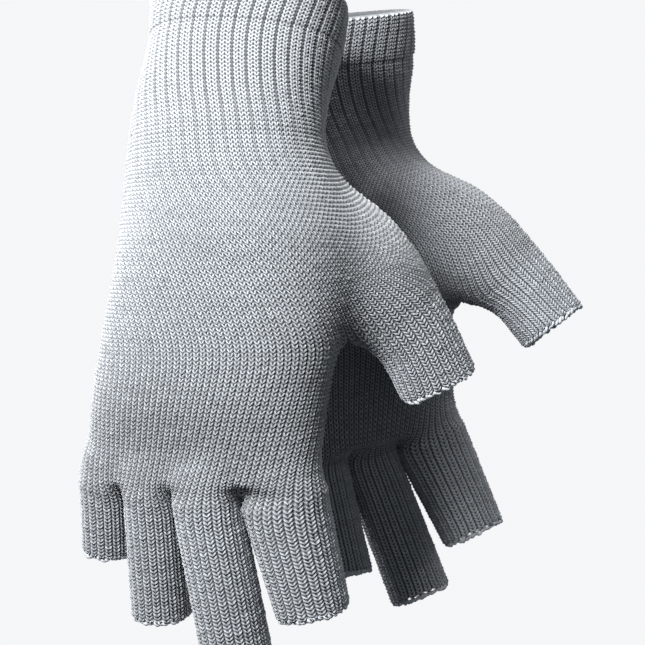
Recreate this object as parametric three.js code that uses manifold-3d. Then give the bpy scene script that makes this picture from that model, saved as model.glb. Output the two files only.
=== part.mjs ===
// A pair of knitted fingerless gloves, each in the shape that a relaxed, hanging hand gives it.
// Millimetres, +Z up. The origin is the centre of the right glove's cuff opening. The fingers point
// down, the thumbs towards +X. The back of the right glove faces -Y, and so does the palm of the left.
//
// Each glove is a chain of knitted tubes: a turned welt round an elastic band, a ribbed wrist, a palm
// section that carries the thumb, a palm section for four fingers, and five open finger stalls, each
// finished with an overlocked edge. A stall's root is cut round the line that it bends about, and
// the palm is cut back by the room which that bend takes.

import * as THREE from "three";
import { mergeVertices } from "three/addons/utils/BufferGeometryUtils.js";
import Module from "manifold-3d";

const wasm = await Module();
wasm.setup();

// ---- driving dimensions ----

const FABRIC = 1.6; // thickness of the knit
const GAP = 0.3; // room between two pieces that meet
const HAND_SIDES = 20;
const STALL_SIDES = 16;
const SQUARENESS = 2.3; // 2 is an ellipse, more is boxier

// Stations down the glove: centre (x, y, z), half width a, half depth b, and degrees of yaw, tilt, roll.
const WELT_TOP = { at: [0.8, 0, -4], a: 31.6, b: 22.6, yaw: 4, tilt: 12, roll: 5 };
const WRIST = [
  { at: [-0.8, -4.2, -21.2], a: 31, b: 21.6, yaw: 5, tilt: 12, roll: 5 },
  { at: [-4.4, -8.8, -37], a: 30.8, b: 20.4, yaw: 6, tilt: 10, roll: 2 },
  { at: [-6.1, -12.2, -51], a: 31.2, b: 20, yaw: 7, tilt: 6, roll: 0 },
  { at: [-5.6, -13.8, -64], a: 32.8, b: 20.2, yaw: 8, tilt: 0, roll: 0 },
];
const THUMB_PALM = [
  { at: [-5.6, -13.8, -64], a: 32.8, b: 20.2, yaw: 8, tilt: 0, roll: 0 },
  { at: [-5.4, -14.3, -80], a: 34.8, b: 20.3, yaw: 9, tilt: 0, roll: 0 },
  { at: [-6.6, -14, -97], a: 36.6, b: 19.4, yaw: 10, tilt: 0, roll: 0 },
  { at: [-8.8, -13.2, -116], a: 38.4, b: 18, yaw: 12, tilt: 0, roll: 0 },
];
const FINGER_PALM = [
  { at: [-8.8, -13.2, -116], a: 38.4, b: 18, yaw: 12, tilt: 0, roll: 0 },
  { at: [-11.9, -11.4, -134], a: 38.9, b: 16.4, yaw: 14, tilt: 0, roll: 0 },
  { at: [-14.2, -8.6, -151], a: 40.2, b: 14.6, yaw: 17, tilt: 0, roll: 0 },
  { at: [-15, -6.4, -168], a: 42, b: 13, yaw: 19, tilt: 0, roll: 0 },
];
const THUMB_BASE = [
  { at: [8, -9, -76], a: 15, b: 14.5 },
  { at: [29, -6.5, -88.5], a: 18, b: 15 },
  { at: [44.8, -4, -102], a: 17.2, b: 13.8 },
  { at: [54, -1.6, -112.4], a: 14, b: 12.4 },
];

// A stall runs from its root to its end. A hinge's range is in degrees, from a little backwards to
// well towards the palm. The four fingers bend about parallel lines, so they never meet.
const STALLS = {
  little: { root: [-47.7, 3, -162], end: [-47.8, 11, -185.9], a: [8, 8.1], b: [8.2, 7.8] },
  ring: { root: [-31, -5, -164], end: [-29.2, 6, -206.2], a: [8.4, 9.2], b: [9.2, 9.2] },
  middle: { root: [-12.9, -12.4, -166], end: [-2.7, -5, -221], a: [10.4, 10.9], b: [9.8, 10] },
  index: { root: [12.3, -14.2, -166], end: [21.4, -9.4, -202.5], a: [12.5, 11.5], b: [10.8, 10.2] },
  thumb: { root: [52.1, -2, -108.2], end: [62.7, 2, -129.8], a: [13.4, 13], b: [11.8, 11.2] },
};
const FINGER_YAW = 20; // of the line that the fingers bend about
const FINGER_PALMAR = [Math.sin((FINGER_YAW * Math.PI) / 180), Math.cos((FINGER_YAW * Math.PI) / 180), 0];
const THUMB_PALMAR = [-0.55, 0.8, -0.25];
const FINGER_BEND = { back: 15, forward: 60 };
const THUMB_BEND = { back: 10, forward: 45 };
const HINGE_BELOW_ROOT = 6; // a stall bends this far below its crotch
const BARREL_PLAY = 0.7; // radial room round a bending root

// The welt: two layers of fabric turned over an elastic band.
const WELT = { height: 16.5, layer: 1.3, pocket: 1.7 };
const ELASTIC = { thickness: 0.9, top: 2.2, bottom: 14.5 };
const EDGE_RADIUS = 1; // half the height of an overlocked edge
const EDGE_SIDES = 6;

// The left glove, mirrored front to back, then turned and moved behind the right one.
const LEFT = { at: [23.8, 50, 5.2], swing: -10.5, pitch: 3 };

const YARN_GREY = 0x9aa1a9;
const EDGE_GREY = 0xbcc3ca;
const ELASTIC_GREY = 0xd8d8d2;

// ---- frames and sections ----

const vector = (list) => new THREE.Vector3(...list);
const radians = THREE.MathUtils.degToRad;

// A cross-section's plane: across is its width, deep its depth towards the palm, down the way on.
function handFrame(station) {
  const turn = new THREE.Matrix4()
    .makeRotationY(radians(station.roll))
    .multiply(new THREE.Matrix4().makeRotationX(-radians(station.tilt)))
    .multiply(new THREE.Matrix4().makeRotationZ(-radians(station.yaw)));
  const across = new THREE.Vector3();
  const deep = new THREE.Vector3();
  const up = new THREE.Vector3();
  turn.extractBasis(across, deep, up);
  return { at: vector(station.at), across, deep, down: up.negate(), a: station.a, b: station.b };
}

// The same for a straight run from one point to another, with its depth as near palmar as it can be.
function runFrame(from, to, palmar) {
  const down = vector(to).sub(vector(from)).normalize();
  const deep = vector(palmar).addScaledVector(down, -vector(palmar).dot(down)).normalize();
  const across = new THREE.Vector3().crossVectors(down, deep);
  return { down, deep, across };
}

// A closed outline in a section's plane, a and b grown by grow.
function outline(section, sides, grow = 0) {
  const points = [];
  for (let i = 0; i < sides; i++) {
    const t = (i / sides) * 2 * Math.PI;
    const round = (v) => Math.sign(v) * Math.abs(v) ** (2 / SQUARENESS);
    points.push(
      section.at
        .clone()
        .addScaledVector(section.across, (section.a + grow) * round(Math.cos(t)))
        .addScaledVector(section.deep, (section.b + grow) * round(Math.sin(t))),
    );
  }
  return points;
}

// Smooth sections between the given ones.
function between(sections, steps) {
  const spread = (pick) => new THREE.CatmullRomCurve3(sections.map(pick));
  const spine = spread((s) => s.at);
  const across = spread((s) => s.across);
  const deep = spread((s) => s.deep);
  const girth = spread((s) => new THREE.Vector3(s.a, s.b, 0));
  const count = (sections.length - 1) * steps;
  return Array.from({ length: count + 1 }, (_, i) => {
    const t = i / count;
    const size = girth.getPoint(t);
    const wide = across.getPoint(t).normalize();
    const thick = deep.getPoint(t).normalize();
    return {
      at: spine.getPoint(t),
      across: wide,
      deep: thick,
      down: new THREE.Vector3().crossVectors(thick, wide),
      a: size.x,
      b: size.y,
    };
  });
}

// ---- solids ----

function solidOf(geometry) {
  const bare = geometry.clone();
  bare.deleteAttribute("normal");
  bare.deleteAttribute("uv");
  const merged = mergeVertices(bare, 1e-4);
  return new wasm.Manifold(
    new wasm.Mesh({
      numProp: 3,
      vertProperties: new Float32Array(merged.attributes.position.array),
      triVerts: new Uint32Array(merged.index.array),
    }),
  );
}

function geometryOf(solid) {
  const mesh = solid.getMesh();
  const geometry = new THREE.BufferGeometry();
  geometry.setAttribute("position", new THREE.BufferAttribute(mesh.vertProperties, 3));
  geometry.setIndex(new THREE.BufferAttribute(mesh.triVerts, 1));
  return geometry;
}

function gridGeometry(rings, closedAlong) {
  const sides = rings[0].length;
  const positions = rings.flat().flatMap((p) => [p.x, p.y, p.z]);
  const index = [];
  const rows = closedAlong ? rings.length : rings.length - 1;
  for (let r = 0; r < rows; r++) {
    const low = r * sides;
    const high = ((r + 1) % rings.length) * sides;
    for (let i = 0; i < sides; i++) {
      const j = (i + 1) % sides;
      index.push(low + i, low + j, high + j, low + i, high + j, high + i);
    }
  }
  if (!closedAlong) {
    const last = (rings.length - 1) * sides;
    for (let i = 1; i < sides - 1; i++) {
      index.push(0, i + 1, i, last, last + i, last + i + 1);
    }
  }
  const geometry = new THREE.BufferGeometry();
  geometry.setAttribute("position", new THREE.Float32BufferAttribute(positions, 3));
  geometry.setIndex(index);
  return geometry;
}

function upright(solid) {
  return solid.volume() < 0 ? null : solid;
}

// A loft through sections, capped at both ends. overrun carries both ends on in a straight line.
function loft(sections, sides, grow = 0, overrun = 0) {
  const path = sections.slice();
  if (overrun) {
    const move = (s, by) => ({ ...s, at: s.at.clone().addScaledVector(s.down, by) });
    path.unshift(move(path[0], -overrun));
    path.push(move(path[path.length - 1], overrun));
  }
  const rings = path.map((s) => outline(s, sides, grow));
  const solid = solidOf(gridGeometry(rings, false));
  return upright(solid) ?? solidOf(gridGeometry(rings.reverse(), false));
}

function tube(sections, sides) {
  return loft(sections, sides).subtract(loft(sections, sides, -FABRIC, 2));
}

// A band that runs round a section: profile is a closed list of [outwards, downwards] points.
function band(section, sides, profile) {
  const rings = profile.map(([out, down]) =>
    outline(section, sides, out).map((p) => p.addScaledVector(section.down, down)),
  );
  const solid = solidOf(gridGeometry(rings, true));
  return upright(solid) ?? solidOf(gridGeometry(rings.reverse(), true));
}

// ---- the bending roots ----

// A stall's sections, and the frame that it bends in: across is the line that it bends about.
function stallPlan(name) {
  const stall = STALLS[name];
  const thumb = name === "thumb";
  const palmar = thumb ? THUMB_PALMAR : FINGER_PALMAR;
  const frame = runFrame(stall.root, stall.end, palmar);
  const across = thumb ? frame.across : vector(FINGER_PALMAR).cross(new THREE.Vector3(0, 0, 1));
  const down = frame.down.clone().addScaledVector(across, -frame.down.dot(across)).normalize();
  const deep = new THREE.Vector3().crossVectors(across, down);
  const hinge = vector(stall.root).addScaledVector(frame.down, HINGE_BELOW_ROOT);
  const radius = stall.b[0] + 0.4;
  const top = hinge.clone().addScaledVector(frame.down, -radius - 1);
  const sections = [
    { ...frame, at: top, a: stall.a[0], b: stall.b[0] },
    { ...frame, at: hinge, a: stall.a[0], b: stall.b[0] },
    { ...frame, at: vector(stall.end), a: stall.a[1], b: stall.b[1] },
  ];
  return { down, deep, hinge, radius, sections };
}

// A slab outlined by points [palmar, upwards] about a hinge, reaching halfWidth to each side of it.
function slab(plan, outlinePoints, halfWidth) {
  const shape = new THREE.Shape(outlinePoints.map(([p, u]) => new THREE.Vector2(p, u)));
  const geometry = new THREE.ExtrudeGeometry(shape, { depth: 2 * halfWidth, bevelEnabled: false });
  geometry.translate(0, 0, -halfWidth);
  const up = plan.down.clone().negate();
  const side = new THREE.Vector3().crossVectors(plan.deep, up);
  geometry.applyMatrix4(new THREE.Matrix4().makeBasis(plan.deep, up, side).setPosition(plan.hinge));
  return solidOf(geometry);
}

function arc(radius, from, to, steps) {
  return Array.from({ length: steps + 1 }, (_, i) => {
    const angle = radians(from + ((to - from) * i) / steps);
    return [radius * Math.cos(angle), radius * Math.sin(angle)];
  });
}

const FAR = 70;

// What a stall keeps: everything below its hinge, and a half barrel above it.
function rootBarrel(plan) {
  const points = [[FAR, 0], ...arc(plan.radius, 0, 180, 12), [-FAR, 0], [-FAR, -FAR], [FAR, -FAR]];
  return slab(plan, points, FAR);
}

// What the palm gives up: the barrel with play round it, opened by the bend to each side.
function bendRoom(plan, bend, reach, below) {
  const radius = plan.radius + BARREL_PLAY;
  const palmarEdge = radians(bend.forward);
  const backEdge = radians(bend.back);
  const points = [
    ...arc(radius, bend.forward, 180 - bend.back, 12),
    [
      -radius * Math.cos(backEdge) - reach * Math.sin(backEdge),
      radius * Math.sin(backEdge) - reach * Math.cos(backEdge),
    ],
    [-radius, -below],
    [radius, -below],
    [
      radius * Math.cos(palmarEdge) + reach * Math.sin(palmarEdge),
      radius * Math.sin(palmarEdge) - reach * Math.cos(palmarEdge),
    ],
  ];
  return slab(plan, points, plan.sections[0].a + 2.5);
}

// ---- one glove ----

function stallSolids(plan) {
  const whole = tube(plan.sections, STALL_SIDES);
  const end = plan.sections[plan.sections.length - 1];
  const rim = { ...end, a: end.a - FABRIC / 2, b: end.b - FABRIC / 2 };
  const round = Array.from({ length: EDGE_SIDES }, (_, i) => {
    const angle = (i / EDGE_SIDES) * 2 * Math.PI;
    return [EDGE_RADIUS * Math.cos(angle), EDGE_RADIUS * (1 + Math.sin(angle)) + GAP];
  });
  return { stall: whole.intersect(rootBarrel(plan)), edge: band(rim, STALL_SIDES, round) };
}

function weltSolids() {
  const top = handFrame(WELT_TOP);
  const { height, layer, pocket } = WELT;
  const inner = -layer - pocket;
  const turned = [
    [layer, layer * 0.6],
    [layer * 0.5, 0],
    [inner - layer * 0.5, 0],
    [inner - layer, layer * 0.6],
    [inner - layer, height],
    [inner, height],
    [inner, layer],
    [0, layer],
    [0, height],
    [layer, height],
  ].map(([out, down]) => [out - layer, down]);
  const middle = -layer - pocket / 2;
  const half = ELASTIC.thickness / 2;
  const strip = [
    [middle + half, ELASTIC.top],
    [middle - half, ELASTIC.top],
    [middle - half, ELASTIC.bottom],
    [middle + half, ELASTIC.bottom],
  ];
  return { welt: band(top, HAND_SIDES, turned), elastic: band(top, HAND_SIDES, strip) };
}

function thumbBaseSections() {
  return THUMB_BASE.map((section, i) => {
    const from = THUMB_BASE[Math.max(i - 1, 0)].at;
    const to = THUMB_BASE[Math.min(i + 1, THUMB_BASE.length - 1)].at;
    return { ...runFrame(from, to, FINGER_PALMAR), at: vector(section.at), a: section.a, b: section.b };
  });
}

function thumbPalmSolid() {
  const palm = THUMB_PALM.map(handFrame);
  const base = thumbBaseSections();
  const outer = loft(palm, HAND_SIDES).add(loft(base, STALL_SIDES));
  const inner = loft(palm, HAND_SIDES, -FABRIC, 2).add(loft(base, STALL_SIDES, -FABRIC));
  const thumbMouth = loft(base.slice(-2), STALL_SIDES, -FABRIC, 3);
  return outer.subtract(inner).subtract(thumbMouth);
}

// A copy of a list of stations with the first moved down by the room left to the piece above.
function below(stations) {
  const sections = stations.map(handFrame);
  sections[0].at.addScaledVector(sections[0].down, GAP);
  return sections;
}

function gloveSolids(plans) {
  const { welt, elastic } = weltSolids();
  const { little, ring, middle, index, thumb } = plans;
  const fingerPalm = [little, ring, middle, index].reduce(
    (palm, plan) => palm.subtract(bendRoom(plan, FINGER_BEND, 30, 40)),
    tube(below(FINGER_PALM), HAND_SIDES),
  );
  const solids = {
    cuff_welt: welt,
    cuff_elastic: elastic,
    ribbed_wrist: tube(below(WRIST), HAND_SIDES),
    thumb_palm: thumbPalmSolid().subtract(bendRoom(thumb, THUMB_BEND, 12, 14)),
    finger_palm: fingerPalm,
  };
  for (const [name, plan] of Object.entries(plans)) {
    const { stall, edge } = stallSolids(plan);
    solids[name + "_stall"] = stall;
    solids[name + "_edge"] = edge;
  }
  return solids;
}

// ---- the pair ----

const yarn = new THREE.MeshStandardMaterial({ color: YARN_GREY, roughness: 0.9, metalness: 0 });
const edging = new THREE.MeshStandardMaterial({ color: EDGE_GREY, roughness: 0.85, metalness: 0 });
const rubber = new THREE.MeshStandardMaterial({ color: ELASTIC_GREY, roughness: 0.7, metalness: 0 });

function materialFor(name) {
  if (name.endsWith("_edge")) {
    return edging;
  }
  return name === "cuff_elastic" ? rubber : yarn;
}

// Each stall's mesh notes the line that it bends about.
function gloveGroup(side) {
  const plans = Object.fromEntries(Object.keys(STALLS).map((name) => [name, stallPlan(name)]));
  const group = new THREE.Group();
  for (const [name, solid] of Object.entries(gloveSolids(plans))) {
    const mesh = new THREE.Mesh(geometryOf(solid), materialFor(name));
    mesh.name = `${side}_${name}`;
    group.add(mesh);
  }
  for (const [name, { hinge, down, deep }] of Object.entries(plans)) {
    const stall = group.getObjectByName(`${side}_${name}_stall`);
    stall.userData.hinge = { point: hinge, down, palmar: deep };
  }
  return group;
}

const right = gloveGroup("right");
const left = gloveGroup("left");
left.scale.y = -1;
const leftPlace = new THREE.Group();
leftPlace.add(left);
leftPlace.rotation.set(radians(LEFT.pitch), radians(LEFT.swing), 0, "YXZ");
leftPlace.position.set(...LEFT.at);

const gloves = new THREE.Group();
gloves.add(right, leftPlace);

export default gloves;
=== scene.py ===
import math

import bpy
import numpy as np
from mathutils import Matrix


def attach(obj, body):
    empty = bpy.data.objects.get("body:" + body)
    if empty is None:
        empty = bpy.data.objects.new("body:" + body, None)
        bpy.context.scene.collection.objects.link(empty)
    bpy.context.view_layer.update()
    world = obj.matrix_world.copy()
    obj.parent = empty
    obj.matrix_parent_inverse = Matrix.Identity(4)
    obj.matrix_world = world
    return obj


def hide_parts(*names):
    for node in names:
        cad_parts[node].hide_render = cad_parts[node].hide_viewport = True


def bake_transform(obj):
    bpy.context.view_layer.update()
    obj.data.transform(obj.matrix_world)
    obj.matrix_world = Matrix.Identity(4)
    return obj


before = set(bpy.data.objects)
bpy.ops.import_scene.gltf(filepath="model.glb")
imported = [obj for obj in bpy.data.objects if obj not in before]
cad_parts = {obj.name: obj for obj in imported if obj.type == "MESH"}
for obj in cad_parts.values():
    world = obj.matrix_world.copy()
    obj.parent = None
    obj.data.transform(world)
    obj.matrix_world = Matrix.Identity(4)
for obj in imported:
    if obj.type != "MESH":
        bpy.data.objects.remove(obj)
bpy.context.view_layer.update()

bl_info = {
    "name": "Knitted fingerless gloves",
    "version": (1, 0, 0),
    "blender": (4, 5, 0),
    "location": "3D View > Sidebar > Gloves",
    "description": "A pair of knitted fingerless gloves, stitch by stitch, on their solid model",
    "category": "Object",
}

MM = 0.001
SIDES = ("right", "left")
SQUARENESS = 2.3  # of a section's outline: 2 is an ellipse, more is boxier
FABRIC = 1.6  # mm through the knit
WELT_FABRIC = 4.2  # mm through the doubled welt
EASE = 0.7  # how far a point of the net goes to the middle of its neighbours in a round
NUDGE = 0.05  # mm between the samples that give the form's slope
JITTER = 0.045  # mm of unevenness in the net

# The hand's stations: depth below the cuff's mouth, centre x and y, half width, half depth, yaw.
HAND_STATIONS = np.array(
    [
        [51, -6.1, -12.2, 31.2, 20, 7],
        [64, -5.6, -13.8, 32.8, 20.2, 8],
        [80, -5.4, -14.3, 34.8, 20.3, 9],
        [97, -6.6, -14, 36.6, 19.4, 10],
        [116, -8.8, -13.2, 38.4, 18, 12],
        [134, -11.9, -11.4, 38.9, 16.4, 14],
        [151, -14, -9.1, 39.4, 13, 17],
        [168, -14.4, -7.6, 39, 9.5, 19],
    ]
)
KNUCKLES = 161.0  # depth at which the palm rounds off into the stalls

# The cuff's stations: centre x, y, z, half width, half depth, yaw, tilt, roll, twist in wales.
CUFF_STATIONS = np.array(
    [
        [0.8, 0, -4, 31.6, 22.6, 4, 12, 5, 14.5],
        [-0.8, -4.2, -21.2, 31, 21.6, 5, 12, 5, 16.8],
        [-4.4, -8.8, -37, 30.8, 20.4, 6, 10, 2, 14.2],
        [-6.1, -12.2, -51, 31.2, 20, 7, 6, 0, 11.2],
        [-5.6, -13.8, -64, 32.8, 20.2, 8, 0, 0, 10.5],
    ]
)

# The same, round the hand and the thumb's base together.
WEB_STATION = np.array([5, -9.5, -91, 48, 20, 6, 0, 0, 5.5])

# The thumb's centre line: x, y, z, half width, half depth.
THUMB_STATIONS = np.array(
    [
        [8, -9, -76, 15, 14.5],
        [29, -6.5, -88.5, 20.5, 15],
        [43, -4.2, -101, 18, 13.8],
        [53.2, -1.6, -112.2, 14, 12.2],
        [62.7, 2, -129.8, 13, 11.2],
        [66.3, 3.4, -137, 13, 11.2],
    ]
)
THUMB_CROTCH = np.array([36.0, -8.0, -119.0])
THUMB_BUMP = np.array([62.9, -1.0, -99.4])
FINGER_YAW = math.radians(20)
FINGER_PALMAR = np.array([math.sin(FINGER_YAW), math.cos(FINGER_YAW), 0])

# Each stall: its root and end, its half widths and half depths there, its courses, half its wales.

def stall(root, end, a, b, courses, half):
    return {"root": root, "end": end, "a": a, "b": b, "courses": courses, "half": half}


STALLS = {
    "little": stall((-46.8, 3, -162), (-47.3, 11, -185.9), (8.6, 8.4), (8.5, 8.1), 20, 10),
    "ring": stall((-30.6, -5, -164), (-28.9, 6, -206.2), (9.2, 9.6), (9.6, 9.4), 34, 11),
    "middle": stall((-12.9, -12.4, -166), (-2.7, -5, -221), (10.8, 11.1), (9.9, 10.1), 44, 11),
    "index": stall((12.1, -14.2, -166), (21.4, -9.4, -202.5), (14.1, 11.8), (11.4, 10.4), 30, 11),
    "thumb": stall((52.1, -2, -108.2), (62.7, 2, -129.8), (13.4, 13), (11.8, 11.2), 22, 14),
}
FINGERS = ("little", "ring", "middle", "index")
CROTCHES = ((-39.5, -0.8, -160.5), (-22.9, -8.6, -165), (-1.4, -13.2, -166))
WELT_COURSES = 13
CUFF_COURSES = 50  # with the welt's
HELD_COURSES = 39  # the cuff's courses that keep their place while the rest settle
HEEL_COURSES = 43  # from the cuff to the thumb's crotch
PALM_COURSES = 36  # from there to the fingers
FORK = CUFF_COURSES + HEEL_COURSES
KNUCKLE = FORK + PALM_COURSES
HAND_HALF = 43  # wales across the back of the four fingers
ALL_HALF = 57  # and with the thumb
SPARE_COURSES = 2

# The left glove is the right one mirrored front to back, turned and moved.
LEFT_AT = np.array([23.8, 50, 5.2])
LEFT_SWING = math.radians(-10.5)
LEFT_PITCH = math.radians(3)


# ---- the glove's form ----


def smooth_between(stops, values, t):
    """Values at t on a smooth curve through the stops."""
    t = np.clip(t, stops[0], stops[-1])
    slopes = np.gradient(values, stops, axis=0)
    i = np.clip(np.searchsorted(stops, t, side="right") - 1, 0, len(stops) - 2)
    step = (stops[i + 1] - stops[i])[:, None]
    u = (t - stops[i])[:, None] / step
    return (
        (2 * u**3 - 3 * u**2 + 1) * values[i]
        + (u**3 - 2 * u**2 + u) * step * slopes[i]
        + (3 * u**2 - 2 * u**3) * values[i + 1]
        + (u**3 - u**2) * step * slopes[i + 1]
    )


def unit(v):
    return v / np.linalg.norm(v, axis=-1, keepdims=True)


def run_frame(start, end, palmar):
    """Down a run, across it, and through it towards the palm."""
    down = unit(np.asarray(end, float) - np.asarray(start, float))
    deep = unit(palmar - down * np.dot(palmar, down))
    return down, np.cross(down, deep), deep


def oval_distance(u, v, a, b):
    n = SQUARENESS
    g = (np.abs(u / a) ** n + np.abs(v / b) ** n) ** (1 / n)
    return np.hypot(u, v) * (1 - 1 / np.maximum(g, 1e-6))


def capped(side, end):
    return np.minimum(np.maximum(side, end), 0) + np.hypot(np.maximum(side, 0), np.maximum(end, 0))


def soft_min(a, b, k):
    h = np.maximum(k - np.abs(a - b), 0) / k
    return np.minimum(a, b) - h * h * k / 4


def palm_distance(p):
    s = smooth_between(HAND_STATIONS[:, 0], HAND_STATIONS[:, 1:], -p[:, 2])
    yaw = np.radians(s[:, 4])
    x = p[:, 0] - s[:, 0]
    y = p[:, 1] - s[:, 1]
    u = x * np.cos(yaw) - y * np.sin(yaw)
    v = x * np.sin(yaw) + y * np.cos(yaw)
    return capped(oval_distance(u, v, s[:, 2], s[:, 3]), -p[:, 2] - KNUCKLES)


def finger_distance(p, name):
    s = STALLS[name]
    down, across, deep = run_frame(s["root"], s["end"], FINGER_PALMAR)
    q = p - np.array(s["root"])
    t = q @ down
    share = np.clip(t / np.linalg.norm(np.subtract(s["end"], s["root"])), 0, 1.1)
    taper = 1 + np.clip(t, -12, 0) / 26
    a = (s["a"][0] + (s["a"][1] - s["a"][0]) * share) * taper
    b = (s["b"][0] + (s["b"][1] - s["b"][0]) * share) * taper
    return capped(oval_distance(q @ across, q @ deep, a, b), -t - 10)


def thumb_line():
    chord = np.linalg.norm(np.diff(THUMB_STATIONS[:, :3], axis=0), axis=1)
    stops = np.concatenate([[0], np.cumsum(chord)])
    line = smooth_between(stops, THUMB_STATIONS, np.linspace(0, stops[-1], 48))
    down = unit(np.gradient(line[:, :3], axis=0))
    deep = unit(np.array([0, 1.0, 0]) - down * down[:, 1:2])
    return line, down, np.cross(down, deep), deep


def thumb_distance(p, line):
    points, down, across, deep = line
    near = ((p[:, None, :] - points[None, :, :3]) ** 2).sum(2).argmin(1)
    q = p - points[near, :3]
    u = (q * across[near]).sum(1)
    v = (q * deep[near]).sum(1)
    side = oval_distance(u, v, points[near, 3], points[near, 4])
    behind = np.where(near == 0, -(q * down[near]).sum(1), -50)
    return capped(side, behind)


def glove_distance(p, part, line):
    """Distance out of the form; part is 0 to 3 on a finger, 4 on the thumb, 5 on the hand."""
    palm = palm_distance(p)
    thumb = thumb_distance(p, line)
    fingers = np.stack([finger_distance(p, name) for name in FINGERS])
    wanted = np.take_along_axis(fingers, np.clip(part, 0, 3)[None], 0)[0]
    own = np.where(part < 4, wanted, fingers.min(0))
    hand = soft_min(palm, own, 8)
    with_thumb = soft_min(np.where(part == 4, palm, hand), thumb, 15)
    return np.where(part < 4, hand, with_thumb)


def oval_point(angle, a, b):
    c, s = np.cos(angle), np.sin(angle)
    power = 2 / SQUARENESS
    return a * np.sign(c) * np.abs(c) ** power, -b * np.sign(s) * np.abs(s) ** power


def oval_ring(a, b, count, twist):
    """Points at equal steps round an oval, from the little finger's side over the back."""
    fine = np.linspace(math.pi, -math.pi, 721)
    u, v = oval_point(fine, a, b)
    run = np.concatenate([[0], np.cumsum(np.hypot(np.diff(u), np.diff(v)))]) / count
    run *= count / run[-1]
    return oval_point(np.interp((np.arange(count + 1) - twist) % count, run, fine), a, b)


def cuff_ring(station, twist):
    x, y, z, a, b, yaw, tilt, roll, _ = station
    turned = rotation(1, math.radians(roll)) @ rotation(0, -math.radians(tilt))
    turned = turned @ rotation(2, -math.radians(yaw))
    u, v = oval_ring(a, b, 2 * ALL_HALF, twist)
    return np.array([x, y, z]) + u[:, None] * turned[:, 0] + v[:, None] * turned[:, 1]


def cuff_rings(turn):
    """The cuff's courses, from the fold at its mouth down to the hand."""
    chord = np.linalg.norm(np.diff(CUFF_STATIONS[:, :3], axis=0), axis=1)
    stops = np.concatenate([[0], np.cumsum(chord)])
    stations = smooth_between(stops, CUFF_STATIONS, np.linspace(0, stops[-1], CUFF_COURSES + 1))
    return np.stack([cuff_ring(station, turn * station[-1]) for station in stations])


def hand_ring(depth, count):
    station = smooth_between(HAND_STATIONS[:, 0], HAND_STATIONS[:, 1:], np.array([depth]))
    cx, cy, a, b, yaw = station[0]
    u, v = oval_ring(a, b, count, 0)
    yaw = math.radians(yaw)
    x = cx + u * math.cos(yaw) + v * math.sin(yaw)
    y = cy - u * math.sin(yaw) + v * math.cos(yaw)
    return np.stack([x, y, np.full(count + 1, -depth)], 1)


def stall_ring(name, at_end):
    s = STALLS[name]
    palmar = np.array([0, 1.0, 0]) if name == "thumb" else FINGER_PALMAR
    _, across, deep = run_frame(s["root"], s["end"], palmar)
    angle = math.pi - math.pi * np.arange(2 * s["half"] + 1) / s["half"]
    u, v = oval_point(angle, s["a"][at_end], s["b"][at_end])
    centre = np.array(s["end"] if at_end else s["root"], float)
    return centre + u[:, None] * across + v[:, None] * deep


def thumb_root_ring():
    half = STALLS["thumb"]["half"]
    angle = math.pi - math.pi * np.arange(2 * half + 1) / half
    centre = (THUMB_CROTCH + THUMB_BUMP) / 2
    out = (THUMB_BUMP - THUMB_CROTCH) / 2
    deep = np.array([0, 13.5, 0])
    return centre + np.cos(angle)[:, None] * out - np.sin(angle)[:, None] * deep


def mixed(a, b, courses):
    share = (np.arange(1, courses + 1) / courses)[:, None, None]
    return a[None] * (1 - share) + b[None] * share


def first_grids(turn):
    """Grid points of every digit's back and palm, course by course, before they settle."""
    cuff = cuff_rings(turn)
    palm = hand_ring(-THUMB_CROTCH[2], 2 * HAND_HALF)
    palm[HAND_HALF] = THUMB_CROTCH
    thumb = thumb_root_ring()
    fork = np.concatenate([palm[:HAND_HALF], thumb[:-1], palm[HAND_HALF:]])
    roots = {name: stall_ring(name, 0) for name in FINGERS}
    for i, at in enumerate(CROTCHES):
        roots[FINGERS[i]][STALLS[FINGERS[i]]["half"]] = at
        roots[FINGERS[i + 1]][[0, -1]] = at
    half = HEEL_COURSES // 2
    web = cuff_ring(WEB_STATION, turn * WEB_STATION[-1])
    heel = mixed(cuff[-1], web, half), mixed(web, fork, HEEL_COURSES - half)
    trunk = np.concatenate([cuff, *heel])
    grids = {}
    start = 0
    for name, s in STALLS.items():
        half = s["half"]
        for back in (True, False):
            own = slice(0, half + 1) if back else slice(half, 2 * half + 1)
            first = start if back else 2 * ALL_HALF - start - half
            rows = [trunk[:, first : first + half + 1]]
            if name == "thumb":
                root = thumb[own]
            else:
                root = roots[name][own]
                at = start if back else 2 * HAND_HALF - start - half
                rows.append(mixed(palm[at : at + half + 1], root, PALM_COURSES))
            rows.append(mixed(root, stall_ring(name, 1)[own], s["courses"]))
            grids[name, back] = (first, np.concatenate(rows))
        start += half
    return grids


def first_course(name):
    return FORK if name == "thumb" else KNUCKLE


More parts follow.
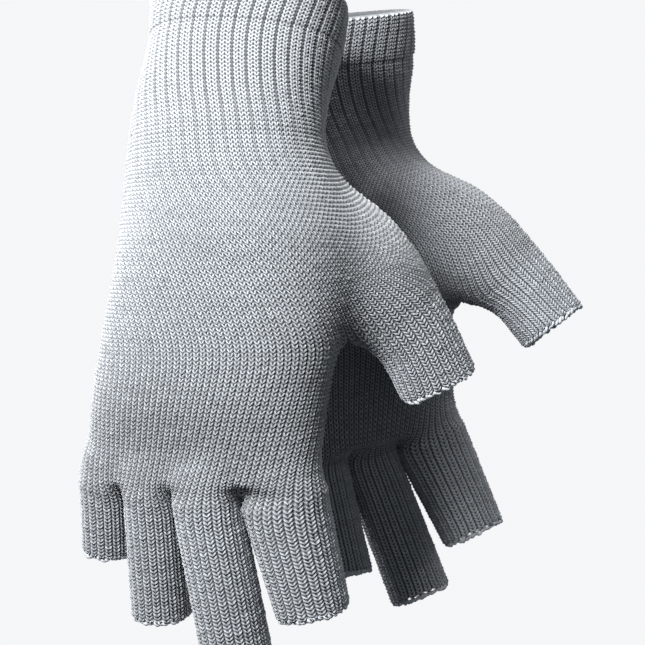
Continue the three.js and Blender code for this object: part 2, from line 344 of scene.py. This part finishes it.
def settle(grids, rounds):
    """Relaxes the grids as one net that stays on the form, and gives each point its normal."""
    keys = list(grids)
    flat = np.concatenate([g.reshape(-1, 3) for _, g in grids.values()])
    rounded = np.round(flat, 3)
    _, unique, ids = np.unique(rounded, axis=0, return_index=True, return_inverse=True)
    ids = ids.ravel()
    p = flat[unique]
    digits = list(STALLS)
    part = []
    numbers = {}
    held = np.zeros(len(p), bool)
    edges = []
    at = 0
    for k in keys:
        rows, columns = grids[k][1].shape[:2]
        own = np.full((rows, columns), 5)
        own[first_course(k[0]) + 1 :] = digits.index(k[0])
        part.append(own.ravel())
        n = ids[at : at + rows * columns].reshape(rows, columns)
        at += rows * columns
        numbers[k] = n
        held[n[: HELD_COURSES + 1]] = True
        held[n[-1]] = True
        edges += [
            np.stack([n[HELD_COURSES:-1].ravel(), n[HELD_COURSES + 1 :].ravel()], 1),
            np.stack([n[HELD_COURSES:, :-1].ravel(), n[HELD_COURSES:, 1:].ravel()], 1),
        ]
    part = np.concatenate(part)[unique]
    for crotch in CROTCHES:
        held[np.linalg.norm(p - np.array(crotch), axis=1).argmin()] = True
    edges = np.unique(np.sort(np.concatenate(edges), axis=1), axis=0)
    edges = edges[edges[:, 0] != edges[:, 1]]
    both = np.concatenate([edges, edges[:, ::-1]])
    degree = np.maximum(np.bincount(both[:, 0], minlength=len(p)), 1)[:, None]
    line = thumb_line()
    free = np.flatnonzero(~held)
    nudge = NUDGE * np.concatenate([np.zeros((1, 3)), np.eye(3)])
    for _ in range(rounds):
        total = np.stack([np.bincount(both[:, 0], p[both[:, 1], c], len(p)) for c in range(3)], 1)
        q = (p + EASE * (total / degree - p))[free]
        near = (q[None] + nudge[:, None]).reshape(-1, 3)
        d = glove_distance(near, np.tile(part[free], 4), line).reshape(4, -1)
        slope = (d[1:] - d[0]).T / NUDGE
        away = d[0][:, None] * slope / np.maximum((slope**2).sum(1), 0.25)[:, None]
        p[free] = q - np.clip(away, -6, 6)
    p[free] += np.random.default_rng(3).normal(0, JITTER, (len(free), 3))
    draw_ribs(p, grids, numbers)
    normals = np.zeros_like(p)
    for n in numbers.values():
        q = p[n]
        face = np.cross(q[1:, :-1] - q[:-1, 1:], q[1:, 1:] - q[:-1, :-1])
        for corner in (n[:-1, :-1], n[1:, :-1], n[:-1, 1:], n[1:, 1:]):
            np.add.at(normals, corner, face)
    normals = unit(normals)
    return {k: (grids[k][0], p[n], normals[n]) for k, n in numbers.items()}


def rib_level(course):
    """How strongly the cuff is ribbed: fully at its mouth, fading out on the hand."""
    return np.interp(course, [0, 26, 38, 60], [1, 1, 0.4, 0])


def draw_ribs(p, grids, numbers):
    """Draws each group of three wales together, which narrows the third to a line that the knit
    darkens with painted shade.
    """
    ring = np.zeros((FORK + 1, 2 * ALL_HALF), int)
    for k, n in numbers.items():
        first = grids[k][0]
        ring[:, first : first + n.shape[1] - 1] = n[: FORK + 1, :-1]
    warp = np.array([0, 0.3, 0.6])[np.arange(2 * ALL_HALF) % 3]
    share = (warp * rib_level(np.arange(FORK + 1))[:, None])[..., None]
    p[ring] = p[ring] * (1 - share) + p[np.roll(ring, -1, 1)] * share


def with_spare_courses(points, normals):
    """Carries a grid on past its last course, for the stitches that reach over it."""
    step = points[-1] - points[-2]
    more = [points[-1] + step * (i + 1) for i in range(SPARE_COURSES)]
    return (
        np.concatenate([points, np.stack(more)]),
        np.concatenate([normals, np.repeat(normals[-1:], SPARE_COURSES, 0)]),
    )


def rotation(axis, angle):
    c, s = math.cos(angle), math.sin(angle)
    i, j = [(1, 2), (2, 0), (0, 1)][axis]
    m = np.eye(3)
    m[i, i] = m[j, j] = c
    m[i, j] = -s
    m[j, i] = s
    return m


def placed(points, side):
    """Millimetres on the right glove to metres on either glove."""
    if side == "right":
        return points * MM
    turn = rotation(1, LEFT_SWING) @ rotation(0, LEFT_PITCH)
    return ((points * [1, -1, 1]) @ turn.T + LEFT_AT) * MM


# ---- knitting ----

# Each of these is given by course down the trunk, and then past a stall's root.
SLANT = (([0, 45, 60], [0.68, 0.75, 0.95]), 1.05)  # courses that a stitch's leg drops
LINK = (([0, 45, 60], [0.62, 0.55, 0.4]), 0.25)  # how full the knit is between two wales
WALE_LINE_SHADE = (([0, 45, 60, 110], [0.25, 0.2, 0.3, 0.45]), 0.6)  # how dark the painted shade is there
WALE_THINNESS = (([0], [3]), 5)  # how thin that line of painted shade is

WELT_SWELL = (
    [0, 1.2, 3, 9, 12.2, 13.2, 14.6, 40],
    [0.08, 0.48, 0.64, 0.64, 0.4, -0.24, 0, 0],
)  # mm, by course
RIB_DEPTH = 0.28  # mm
RIB_SHADE = 0.5
UNEVEN = 0.07  # of a stitch's height
STITCH_TONE = 0.07
COURSE_TONE = 0.03


def sampled(grid, x, y):
    """Grid values at column x and row y, between the grid's points."""
    i = np.clip(np.floor(y).astype(int), 0, grid.shape[0] - 2)
    j = np.clip(np.floor(x).astype(int), 0, grid.shape[1] - 2)
    v = (y - i)[..., None]
    u = (x - j)[..., None]
    top = grid[i, j] * (1 - u) + grid[i, j + 1] * u
    low = grid[i + 1, j] * (1 - u) + grid[i + 1, j + 1] * u
    return top * (1 - v) + low * v


def eased(course, name, trunk, past_root):
    """A value that runs through the trunk's courses, and changes to another past a stall's root."""
    share = np.clip((course - first_course(name)) / 5, 0, 1)
    return np.interp(course, *trunk) * (1 - share) + past_root * share


def stitch_profile(name, y, down):
    """How full of yarn a place in a stitch is, and how much light gets there. down runs from 0
    between two wales to 1 at the foot of the stitch's V."""
    yarn = np.abs(np.cos(np.pi * y)) ** 0.7
    leg = np.sin(np.pi * down**0.85) ** 0.55
    leg = np.maximum(leg, eased(y, name, *LINK) * (0.75 + 0.25 * down))
    full = leg * (0.35 + 0.65 * yarn)
    between = np.abs(np.sin(np.pi * y)) ** 1.2
    line = eased(y, name, *WALE_LINE_SHADE)
    # Painted shade: the holes in each V and the lines between wales and courses darken the yarn's
    # colour here.
    hole_shade = (1 - down) ** eased(y, name, *WALE_THINNESS) * (line + (1 - line) * between)
    hole_shade = hole_shade + 0.85 * down**4 * between
    return full, np.clip(1.1 - 1.35 * hole_shade - 0.2 * between, 0, 1)


def rib_grooves(wale):
    """1 at the third wale of each rib, which sinks between its neighbours, and 0 on the rest."""
    beside = np.minimum(np.abs(wale % 3 - 2.5), np.abs(wale % 3 + 0.5))
    return np.clip((0.75 - beside) / 0.35, 0, 1)


class Knit:
    """A knitted wall: stitches outside, a plain face inside, closed along its rims."""

    def __init__(self, relief_and_painted_shade, across, along):
        self.relief_and_painted_shade = relief_and_painted_shade
        self.across = across  # facets across a wale
        self.along = along  # and along a course
        self.points = []
        self.faces = []
        self.rims = []
        self.light = []
        self.tone = []
        self.count = 0

    def add(self, points, light, tone):
        first = self.count
        flat = points.reshape(-1, 3)
        self.points.append(flat)
        self.light.append(np.broadcast_to(light, points.shape[:2]).ravel())
        self.tone.append(np.broadcast_to(tone, points.shape[:2]).ravel())
        self.count += len(flat)
        return first + np.arange(len(flat)).reshape(points.shape[:2])

    def panel(self, name, net, first, last):
        """Knits the courses of one side of a digit, from first to last."""
        start, points, normals = net
        columns = points.shape[1] - 1
        x, y = np.meshgrid(
            np.arange(columns * self.across + 1) / self.across,
            np.arange(first * self.along, last * self.along + 1) / self.along,
        )
        down = 1 - np.abs(2 * (x % 1) - 1)
        gy = y + eased(y, name, *SLANT) * down
        full, light = stitch_profile(name, y, down)
        random = np.random.default_rng(start + 7)
        stitch = random.normal(0, 1, (len(points) + 1, columns + 1, 2))
        course = random.normal(0, 1, len(points) + 1)
        ci = np.floor(y + 0.5).astype(int)
        cj = np.floor(x).astype(int)
        in_stitch = (x % 1 > 0) & ((y + 0.5) % 1 > 0)
        uneven = np.where(in_stitch, stitch[ci, cj, 0], 0)
        tone = np.where(in_stitch, STITCH_TONE * stitch[ci, cj, 1] + COURSE_TONE * course[ci], 0)
        groove = rib_grooves(x + start) * rib_level(y)
        height = self.relief_and_painted_shade * (full - 0.5 + UNEVEN * uneven)
        height = height - RIB_DEPTH * groove + np.interp(gy, *WELT_SWELL)
        # Painted shade in the sunken wale of each rib.
        light = light * (1 - RIB_SHADE * groove)

        base = sampled(points, x, gy)
        out = unit(sampled(normals, x, gy))
        n = self.add(base + out * height[..., None], light, tone)
        outer = [n[:-1, :-1], n[1:, :-1], n[1:, 1:], n[:-1, 1:]]
        self.faces.append(np.stack(outer, -1).reshape(-1, 4))

        rows = np.arange(first, last + 1)
        wall = np.where(rows <= WELT_COURSES, WELT_FABRIC, FABRIC)[:, None, None]
        # The plain inside face is painted in shade: its stored light of 0.35 darkens its colour.
        m = self.add(points[rows] - normals[rows] * wall, 0.35, 0)
        inner = [m[:-1, :-1], m[:-1, 1:], m[1:, 1:], m[1:, :-1]]
        self.faces.append(np.stack(inner, -1).reshape(-1, 4))
        middle = self.across // 2
        for row, step in ((0, 1), (-1, -1)):
            for j in range(columns):
                edge = n[row, j * self.across : (j + 1) * self.across + 1]
                low, high = m[row, j : j + 2]
                rim = [[edge[i], edge[i + 1], low] for i in range(middle)]
                rim += [[edge[i], edge[i + 1], high] for i in range(middle, self.across)]
                self.rims += [t[::step] for t in (*rim, [edge[middle], high, low])]

    def bind_off(self, name, side):
        """Makes the object for one glove: its points merged, its faces outwards."""
        points = np.concatenate(self.points)
        rounded = np.round(points, 4)
        _, first, ids = np.unique(rounded, axis=0, return_index=True, return_inverse=True)
        ids = ids.ravel()
        quads = ids[np.concatenate(self.faces)]
        flip = side == "left"
        if flip:
            quads = quads[:, ::-1]
        polygons = [[i for k, i in enumerate(ids[r]) if i != ids[r][k - 1]] for r in self.rims]
        polygons = [(p[::-1] if flip else p) for p in polygons if len(set(p)) > 2]
        corners = np.concatenate([quads.ravel(), np.concatenate(polygons)])
        sizes = np.concatenate([np.full(len(quads), 4), [len(p) for p in polygons]])
        mesh = bpy.data.meshes.new(name)
        mesh.vertices.add(len(first))
        mesh.vertices.foreach_set("co", placed(points[first], side).astype(np.float32).ravel())
        mesh.loops.add(len(corners))
        mesh.loops.foreach_set("vertex_index", corners.astype(np.int32))
        mesh.polygons.add(len(sizes))
        starts = np.concatenate([[0], np.cumsum(sizes)[:-1]]).astype(np.int32)
        mesh.polygons.foreach_set("loop_start", starts)
        smooth = np.arange(len(sizes)) < len(quads)
        mesh.update(calc_edges=True)
        mesh.polygons.foreach_set("use_smooth", smooth)
        # Each point's stored light goes into a point attribute, which the material uses to paint
        # shade.
        for label, values in (("relief_and_painted_shade", self.light), ("tone", self.tone)):
            layer = mesh.attributes.new(label, "FLOAT", "POINT")
            layer.data.foreach_set("value", np.concatenate(values)[first].astype(np.float32))
        mesh.validate()
        piece = bpy.data.objects.new(name, mesh)
        bpy.context.collection.objects.link(piece)
        return piece


# ---- materials ----


class Wire:
    """A socket's value, with arithmetic that adds Math nodes."""

    def __init__(self, recipe, socket):
        self.recipe = recipe
        self.socket = socket

    def _math(self, operation, *others):
        values = {i: v for i, v in enumerate(others)}
        return self.recipe.node("ShaderNodeMath", {"operation": operation}, values)

    def __add__(self, other):
        return self._math("ADD", self, other)

    __radd__ = __add__

    def __sub__(self, other):
        return self._math("SUBTRACT", self, other)

    def __rsub__(self, other):
        return self._math("SUBTRACT", other, self)

    def __mul__(self, other):
        return self._math("MULTIPLY", self, other)

    __rmul__ = __mul__

    def __pow__(self, other):
        return self._math("POWER", self, other)


class Recipe:
    """A material and the nodes in it."""

    def __init__(self, name, **shader):
        self.material = bpy.data.materials.new(name)
        self.material.use_nodes = True
        self.tree = self.material.node_tree
        self.shader = self.tree.nodes["Principled BSDF"]
        for label, value in shader.items():
            self.shader.inputs[label.replace("_", " ")].default_value = value

    def node(self, kind, settings=None, sockets=None, output=0):
        node = self.tree.nodes.new(kind)
        for label, value in (settings or {}).items():
            setattr(node, label, value)
        for label, value in (sockets or {}).items():
            if isinstance(value, Wire):
                self.tree.links.new(value.socket, node.inputs[label])
            else:
                node.inputs[label].default_value = value
        return Wire(self, node.outputs[output])

    def feed(self, label, wire):
        self.tree.links.new(wire.socket, self.shader.inputs[label])

    def bump(self, strength, height):
        sockets = {"Strength": strength, "Distance": 0.0002, "Height": height}
        self.feed("Normal", self.node("ShaderNodeBump", None, sockets))


def blend_colours(recipe, share, low, high):
    return recipe.node("ShaderNodeMix", {"data_type": "RGBA"}, {0: share, 6: low, 7: high}, 2)


def yarn_material(name, colour, shade_factor, fluff):
    """Matt yarn: painted shade between the stitches, flecked, with a bump of loose fibres."""
    yarn = Recipe(name, Roughness=0.92, Sheen_Weight=0.25, Sheen_Roughness=0.6, IOR=1.4)
    relief_and_painted_shade = yarn.node("ShaderNodeAttribute", {"attribute_name": "relief_and_painted_shade"}, output=2)
    tone = yarn.node("ShaderNodeAttribute", {"attribute_name": "tone"}, output=2)
    place = yarn.node("ShaderNodeTexCoord", output=3)
    fleck = yarn.node("ShaderNodeTexNoise", None, {"Vector": place, "Scale": 900.0, "Detail": 2.0})
    cloud = yarn.node("ShaderNodeTexNoise", None, {"Vector": place, "Scale": 45.0, "Detail": 3.0})
    fibre = yarn.node("ShaderNodeTexNoise", None, {"Vector": place, "Scale": 4200.0, "Detail": 2.0})
    level = 1 + tone + (fleck - 0.5) * 0.45 + (cloud - 0.5) * 0.16
    # Painted shade: the colour darkens towards this dark colour where a point's stored light is
    # low.
    dark = (*[c * shade_factor for c in colour], 1)
    lit = blend_colours(yarn, relief_and_painted_shade**1.6, dark, (*colour, 1))
    grey = yarn.node("ShaderNodeCombineXYZ", None, {0: level, 1: level, 2: level})
    shown = yarn.node("ShaderNodeVectorMath", {"operation": "MULTIPLY"}, {0: lit, 1: grey})
    yarn.feed("Base Color", shown)
    yarn.bump(fluff, fibre + fleck * 0.6)
    return yarn.material


def elastic_material(colour):
    """Covered elastic: fine ribs across a pale band."""
    band = Recipe("covered_elastic", Roughness=0.7)
    place = band.node("ShaderNodeTexCoord", output=3)
    sockets = {"Vector": place, "Scale": 420.0, "Distortion": 0.4}
    ribs = band.node("ShaderNodeTexWave", {"bands_direction": "Z"}, sockets)
    dark = (*[c * 0.72 for c in colour], 1)
    band.feed("Base Color", blend_colours(band, ribs, dark, (*colour, 1)))
    band.bump(0.4, ribs)
    return band.material


# ---- the knitted nets, worked out once for each glove ----

NETS = {}


def glove_net(side):
    if side not in NETS:
        rounds = 60
        net = settle(first_grids(1 if side == "right" else -1), rounds)
        NETS[side] = {k: (first, *with_spare_courses(p, n)) for k, (first, p, n) in net.items()}
    return NETS[side]


def knit_piece(side, label, digits, first, last, facets=(4, 4)):
    """Knits the same courses of several digits as one piece."""
    knit = Knit(bpy.context.scene.glove_yarn.relief_and_painted_shade / MM, *facets)
    for (name, back), net in glove_net(side).items():
        if name in digits:
            knit.panel(name, net, first, last)
    return knit.bind_off(f"{side}_{label}", side)


def dressed(piece, material, body, slot, *nodes):
    piece.data.materials.append(material)
    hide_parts(*nodes)
    if body:
        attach(piece, body)
    return piece


# ---- settings ----


class GLOVES_PG_yarn(bpy.types.PropertyGroup):
    """Colours and stitch height of the yarns"""

    colour: bpy.props.FloatVectorProperty(
        name="Yarn",
        description="Colour of the knit's yarn",
        subtype="COLOR",
        default=(0.43, 0.466, 0.51),
    )
    edge_colour: bpy.props.FloatVectorProperty(
        name="Edge thread",
        description="Colour of the overlocked edges",
        subtype="COLOR",
        default=(0.52, 0.56, 0.61),
    )
    elastic_colour: bpy.props.FloatVectorProperty(
        name="Elastic",
        description="Colour of the elastic in the welt",
        subtype="COLOR",
        default=(0.69, 0.69, 0.66),
    )
    relief_and_painted_shade: bpy.props.FloatProperty(
        name="Relief", description="Height of a stitch", default=0.0011, unit="LENGTH"
    )


# ---- pieces ----


def fetch_material(kind):
    name = {"knit": "grey_wool", "edge": "pale_overlock_thread"}[kind]
    if name in bpy.data.materials:
        return bpy.data.materials[name]
    yarn = bpy.context.scene.glove_yarn
    if kind == "knit":
        # The knit's painted shade between the stitches goes nearly black.
        return yarn_material(name, tuple(yarn.colour), 0.02, 0.5)
    return yarn_material(name, tuple(yarn.edge_colour), 0.25, 0.6)


class GLOVES_OT_cuffs(bpy.types.Operator):
    """Knit the turned welts and the ribbed wrists"""

    bl_idname = "gloves.cuffs"
    bl_label = "Cuffs"

    def execute(self, context):
        for side in SIDES:
            body = side + "_glove"
            welt = knit_piece(side, "welt_knit", STALLS, 0, WELT_COURSES)
            dressed(welt, fetch_material("knit"), body, "knit_yarn", side + "_cuff_welt")
            wrist = knit_piece(side, "wrist_knit", STALLS, WELT_COURSES, CUFF_COURSES)
            dressed(wrist, fetch_material("knit"), body, "knit_yarn", side + "_ribbed_wrist")
        return {"FINISHED"}


class GLOVES_OT_hands(bpy.types.Operator):
    """Knit the hands in two bands: with the thumb, and past its crotch without it"""

    bl_idname = "gloves.hands"
    bl_label = "Hands"

    def execute(self, context):
        for side in SIDES:
            body = side + "_glove"
            heel = knit_piece(side, "thumb_palm_knit", STALLS, CUFF_COURSES, FORK)
            dressed(heel, fetch_material("knit"), body, "knit_yarn", side + "_thumb_palm")
            palm = knit_piece(side, "finger_palm_knit", FINGERS, FORK, KNUCKLE)
            dressed(palm, fetch_material("knit"), body, "knit_yarn", side + "_finger_palm")
        return {"FINISHED"}


class GLOVES_OT_stalls(bpy.types.Operator):
    """Knit the open stalls of the fingers and thumbs"""

    bl_idname = "gloves.stalls"
    bl_label = "Stalls"

    def execute(self, context):
        for name, s in STALLS.items():
            first = first_course(name)
            for side in SIDES:
                last = first + s["courses"] - 1
                piece = knit_piece(side, name + "_knit", [name], first, last, (6, 4))
                dressed(piece, fetch_material("knit"), None, "knit_yarn", f"{side}_{name}_stall")
                start, end = bend_planes(name, side)
                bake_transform(piece)
        return {"FINISHED"}


def bend_planes(name, side):
    """Points on the planes between which a stall's knit would turn with its digit."""
    s = STALLS[name]
    down, _, _ = run_frame(s["root"], s["end"], FINGER_PALMAR)
    root = np.array(s["root"], float)
    net = glove_net(side)
    ring = np.concatenate([net[name, back][1][first_course(name)] for back in (True, False)])
    begins = ((ring - root) @ down).max() + 1.6
    points = np.stack([root + down * begins, root + down * max(begins + 11, 15)])
    start, end = placed(points, side)
    return tuple(start), tuple(end)


class GLOVES_OT_edges(bpy.types.Operator):
    """Roll the overlock thread round the open end of each stall"""

    bl_idname = "gloves.edges"
    bl_label = "Overlocked edges"

    def execute(self, context):
        for seed, name in enumerate(STALLS):
            strands = edge_strands(name, np.random.default_rng(51 + seed))
            for side in SIDES:
                digit = f"{side}_{name}"
                piece = strands_piece(digit + "_overlock", strands, side)
                dressed(piece, fetch_material("edge"), digit, "edge_yarn", digit + "_edge")
        return {"FINISHED"}


def wander(random, count, size, knots):
    """A closed run of smooth random numbers."""
    rough = random.normal(0, size, knots)
    at = np.arange(count) / count * knots
    i = np.floor(at).astype(int)
    u = at - i
    u = u * u * (3 - 2 * u)
    return rough[i % knots] * (1 - u) + rough[(i + 1) % knots] * u


def edge_strands(name, random):
    """The two thick threads twisted round a stall's open end, in millimetres."""
    s = STALLS[name]
    ring = stall_ring(name, 1)
    down, _, _ = run_frame(s["root"], s["end"], FINGER_PALMAR)
    run = np.concatenate([[0], np.cumsum(np.linalg.norm(np.diff(ring, axis=0), axis=1))])
    count = int(run[-1] / 0.3)
    share = np.arange(count) / count
    line = np.stack([np.interp(share * run[-1], run, ring[:, c]) for c in range(3)], 1)
    ahead = unit(np.roll(line, -1, 0) - np.roll(line, 1, 0))
    out = unit(np.cross(down, ahead))
    out *= np.sign(((line - np.array(s["end"])) * out).sum(1))[:, None]
    turns = round(run[-1] / 2.9)
    sides = np.arange(6) / 6 * 2 * math.pi
    made = []
    for strand in range(2):
        phase = 2 * math.pi * turns * share + math.pi * strand + wander(random, count, 0.5, 14)
        swing = 0.42 * (1 + wander(random, count, 0.3, 22))
        middle = line - out * 0.75 + down * 0.35
        middle = middle + out * (swing * np.cos(phase) + wander(random, count, 0.16, 30))[:, None]
        middle = middle + down * (swing * np.sin(phase) + wander(random, count, 0.22, 26))[:, None]
        way = unit(np.roll(middle, -1, 0) - np.roll(middle, 1, 0))
        one = unit(np.cross(way, out))
        two = np.cross(way, one)
        size = 0.5 * (1 + wander(random, count, 0.22, 40))
        around = np.cos(sides)[:, None] * one[:, None] + np.sin(sides)[:, None] * two[:, None]
        made.append(middle[:, None] + around * size[:, None, None])
    return np.stack(made)


def strands_piece(name, strands, side):
    """One object of closed tubes, each a run of rings."""
    tubes, count, sides = strands.shape[:3]
    n = np.arange(tubes * count * sides).reshape(tubes, count, sides)
    ahead = np.roll(n, -1, 1)
    faces = np.stack([n, np.roll(n, -1, 2), np.roll(ahead, -1, 2), ahead], -1).reshape(-1, 4)
    if side == "left":
        faces = faces[:, ::-1]
    mesh = bpy.data.meshes.new(name)
    mesh.from_pydata(placed(strands.reshape(-1, 3), side).tolist(), [], faces.tolist())
    mesh.polygons.foreach_set("use_smooth", np.ones(len(faces), bool))
    for label, value in (("relief_and_painted_shade", 0.9), ("tone", 0.0)):
        layer = mesh.attributes.new(label, "FLOAT", "POINT")
        layer.data.foreach_set("value", np.full(n.size, value, np.float32))
    piece = bpy.data.objects.new(name, mesh)
    bpy.context.collection.objects.link(piece)
    return piece


class GLOVES_OT_elastics(bpy.types.Operator):
    """Give the elastic inside each welt its covered finish"""

    bl_idname = "gloves.elastics"
    bl_label = "Elastics"

    def execute(self, context):
        finish = elastic_material(tuple(context.scene.glove_yarn.elastic_colour))
        for side in SIDES:
            for slot in bpy.data.objects[side + "_cuff_elastic"].material_slots:
                slot.material = finish
        return {"FINISHED"}


class GLOVES_OT_stage(bpy.types.Operator):
    """Set the pale floor and backdrop, the soft lights and the camera"""

    bl_idname = "gloves.stage"
    bl_label = "Stage"

    def execute(self, context):
        pale = Recipe("pale_stage", Roughness=1.0)
        pale.shader.inputs["Base Color"].default_value = (0, 0, 0, 1)
        pale.shader.inputs["Specular IOR Level"].default_value = 0
        pale.shader.inputs["Emission Color"].default_value = (0.915, 0.925, 0.94, 1)
        pale.shader.inputs["Emission Strength"].default_value = 1
        bpy.ops.object.select_all(action="DESELECT")
        bpy.ops.mesh.primitive_plane_add(size=8, location=(0, 0, -0.6))
        floor = context.object
        floor.name = "floor"
        bpy.ops.mesh.primitive_uv_sphere_add(radius=6, location=(0, 0, 0))
        backdrop = context.object
        backdrop.name = "backdrop"
        for o in (floor, backdrop):
            o.data.materials.append(pale.material)
            o.visible_diffuse = False
            o.visible_glossy = False
            o.visible_shadow = False
        world = bpy.data.worlds.new("studio")
        world.use_nodes = True
        world.node_tree.nodes["Background"].inputs[0].default_value = (0.8, 0.9, 1, 1)
        world.node_tree.nodes["Background"].inputs[1].default_value = 0.1
        context.scene.world = world
        context.scene.view_settings.view_transform = "Standard"
        soft_light("key", (-0.14, -0.27, 0.08), (0, 0, -0.08), 0.13, 3.2)
        soft_light("top", (-0.225, -0.39, 0.68), (0, 0, -0.1), 0.25, 8)
        soft_light("fill", (0.2, -0.7, -0.05), (0.04, 0, -0.12), 0.4, 0.3)
        soft_light("back", (-0.7, 0.6, 0.15), (0, 0, -0.1), 0.4, 6)
        soft_light("side", (0.9, 0.35, 0.2), (0, 0, -0.1), 0.4, 2)
        camera = bpy.data.cameras.new("camera")
        camera.lens = 77.9
        camera.sensor_width = 36
        camera.clip_end = 50
        eye = bpy.data.objects.new("camera", camera)
        eye.location = (0.0245, -0.46, -0.11)
        eye.rotation_euler = (math.pi / 2, 0, 0)
        context.collection.objects.link(eye)
        context.scene.camera = eye
        return {"FINISHED"}


def soft_light(name, place, target, size, power):
    lamp = bpy.data.lights.new(name, "AREA")
    lamp.shape = "DISK"
    lamp.size = size
    lamp.energy = power
    lamp.color = (1, 0.985, 0.97)
    holder = bpy.data.objects.new(name, lamp)
    bpy.context.collection.objects.link(holder)
    holder.visible_camera = False
    holder.location = place
    way = np.subtract(target, place)
    yaw = math.atan2(way[1], way[0])
    fall = math.atan2(way[2], math.hypot(way[0], way[1]))
    holder.rotation_euler = (math.pi / 2 + fall, 0, yaw - math.pi / 2)


class GLOVES_PT_panel(bpy.types.Panel):
    """The pair's pieces and settings"""

    bl_idname = "GLOVES_PT_panel"
    bl_label = "Fingerless gloves"
    bl_space_type = "VIEW_3D"
    bl_region_type = "UI"
    bl_category = "Gloves"

    def draw(self, context):
        for label in context.scene.glove_yarn.__annotations__:
            self.layout.prop(context.scene.glove_yarn, label)
        for operator in OPERATORS:
            self.layout.operator(operator.bl_idname)


OPERATORS = (
    GLOVES_OT_cuffs,
    GLOVES_OT_hands,
    GLOVES_OT_stalls,
    GLOVES_OT_edges,
    GLOVES_OT_elastics,
    GLOVES_OT_stage,
)
CLASSES = (GLOVES_PG_yarn, *OPERATORS, GLOVES_PT_panel)


def register():
    for each in CLASSES:
        bpy.utils.register_class(each)
    bpy.types.Scene.glove_yarn = bpy.props.PointerProperty(type=GLOVES_PG_yarn)


def unregister():
    del bpy.types.Scene.glove_yarn
    for each in reversed(CLASSES):
        bpy.utils.unregister_class(each)


def main():
    register()
    bpy.ops.gloves.cuffs()
    bpy.ops.gloves.hands()
    bpy.ops.gloves.stalls()
    bpy.ops.gloves.edges()
    bpy.ops.gloves.elastics()
    bpy.ops.gloves.stage()


if __name__ == "__main__":
    main()
